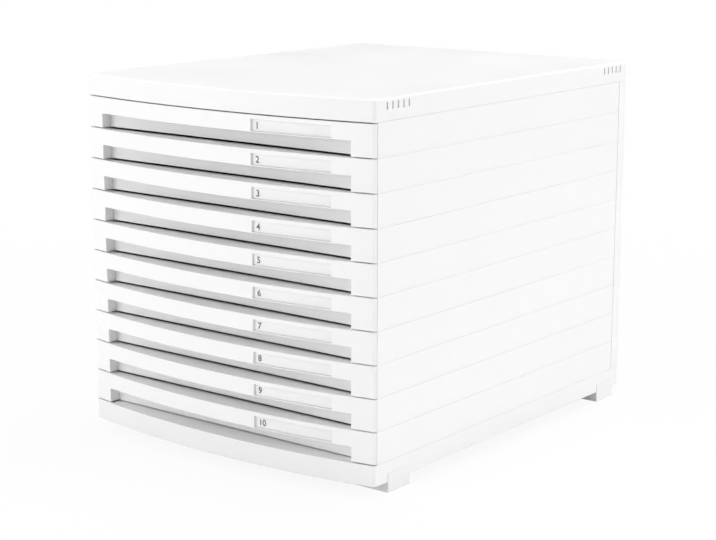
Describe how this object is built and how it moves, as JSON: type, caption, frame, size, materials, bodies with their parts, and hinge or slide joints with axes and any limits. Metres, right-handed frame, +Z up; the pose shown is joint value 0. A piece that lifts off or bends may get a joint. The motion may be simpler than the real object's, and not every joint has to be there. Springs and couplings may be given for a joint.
{
  "type": "desktop drawer box",
  "caption": "Free-standing desktop box of low letter trays: bulging white fronts with hooded grip recesses, label windows, drawers that slide out to a stop.",
  "frame": {"origin": "on the desk, under the middle of the box", "axes": "+X to the right seen from the front, +Y to the rear, +Z up; the drawers open towards -Y"},
  "size_m": [0.276, 0.353, 0.28],
  "materials": {
    "case_plastic": "fine moulded satin, white",
    "front_plastic": "smooth moulded satin, white",
    "tray_plastic": "moulded satin, white",
    "foot_plastic": "moulded, white",
    "label_paper": "plain uncoated",
    "label_clear": "clear moulded plastic window"
  },
  "bodies": {
    "case": {"base": "case_plastic", "top_cover": "case_plastic", "left_side_panel": "case_plastic", "right_side_panel": "case_plastic", "rear_panel": "case_plastic", "foot_front_left": "foot_plastic", "foot_front_right": "foot_plastic", "foot_rear_left": "foot_plastic", "foot_rear_right": "foot_plastic"},
    "drawer_01": {"drawer_tray_01": "tray_plastic", "drawer_front_01": "front_plastic", "label_strip_01": "label_paper", "label_window_01": "label_clear"},
    "drawer_02": {"drawer_tray_02": "tray_plastic", "drawer_front_02": "front_plastic", "label_strip_02": "label_paper", "label_window_02": "label_clear"},
    "drawer_03": {"drawer_tray_03": "tray_plastic", "drawer_front_03": "front_plastic", "label_strip_03": "label_paper", "label_window_03": "label_clear"},
    "drawer_04": {"drawer_tray_04": "tray_plastic", "drawer_front_04": "front_plastic", "label_strip_04": "label_paper", "label_window_04": "label_clear"},
    "drawer_05": {"drawer_tray_05": "tray_plastic", "drawer_front_05": "front_plastic", "label_strip_05": "label_paper", "label_window_05": "label_clear"},
    "drawer_06": {"drawer_tray_06": "tray_plastic", "drawer_front_06": "front_plastic", "label_strip_06": "label_paper", "label_window_06": "label_clear"},
    "drawer_07": {"drawer_tray_07": "tray_plastic", "drawer_front_07": "front_plastic", "label_strip_07": "label_paper", "label_window_07": "label_clear"},
    "drawer_08": {"drawer_tray_08": "tray_plastic", "drawer_front_08": "front_plastic", "label_strip_08": "label_paper", "label_window_08": "label_clear"},
    "drawer_09": {"drawer_tray_09": "tray_plastic", "drawer_front_09": "front_plastic", "label_strip_09": "label_paper", "label_window_09": "label_clear"},
    "drawer_10": {"drawer_tray_10": "tray_plastic", "drawer_front_10": "front_plastic", "label_strip_10": "label_paper", "label_window_10": "label_clear"}
  },
  "joints": [
    {"name": "drawer_01_slide", "type": "slide", "parent": "case", "child": "drawer_01", "axis": [0, -1, 0], "range_m": [0, 0.225]},
    {"name": "drawer_02_slide", "type": "slide", "parent": "case", "child": "drawer_02", "axis": [0, -1, 0], "range_m": [0, 0.225]},
    {"name": "drawer_03_slide", "type": "slide", "parent": "case", "child": "drawer_03", "axis": [0, -1, 0], "range_m": [0, 0.225]},
    {"name": "drawer_04_slide", "type": "slide", "parent": "case", "child": "drawer_04", "axis": [0, -1, 0], "range_m": [0, 0.225]},
    {"name": "drawer_05_slide", "type": "slide", "parent": "case", "child": "drawer_05", "axis": [0, -1, 0], "range_m": [0, 0.225]},
    {"name": "drawer_06_slide", "type": "slide", "parent": "case", "child": "drawer_06", "axis": [0, -1, 0], "range_m": [0, 0.225]},
    {"name": "drawer_07_slide", "type": "slide", "parent": "case", "child": "drawer_07", "axis": [0, -1, 0], "range_m": [0, 0.225]},
    {"name": "drawer_08_slide", "type": "slide", "parent": "case", "child": "drawer_08", "axis": [0, -1, 0], "range_m": [0, 0.225]},
    {"name": "drawer_09_slide", "type": "slide", "parent": "case", "child": "drawer_09", "axis": [0, -1, 0], "range_m": [0, 0.225]},
    {"name": "drawer_10_slide", "type": "slide", "parent": "case", "child": "drawer_10", "axis": [0, -1, 0], "range_m": [0, 0.225]}
  ]
}
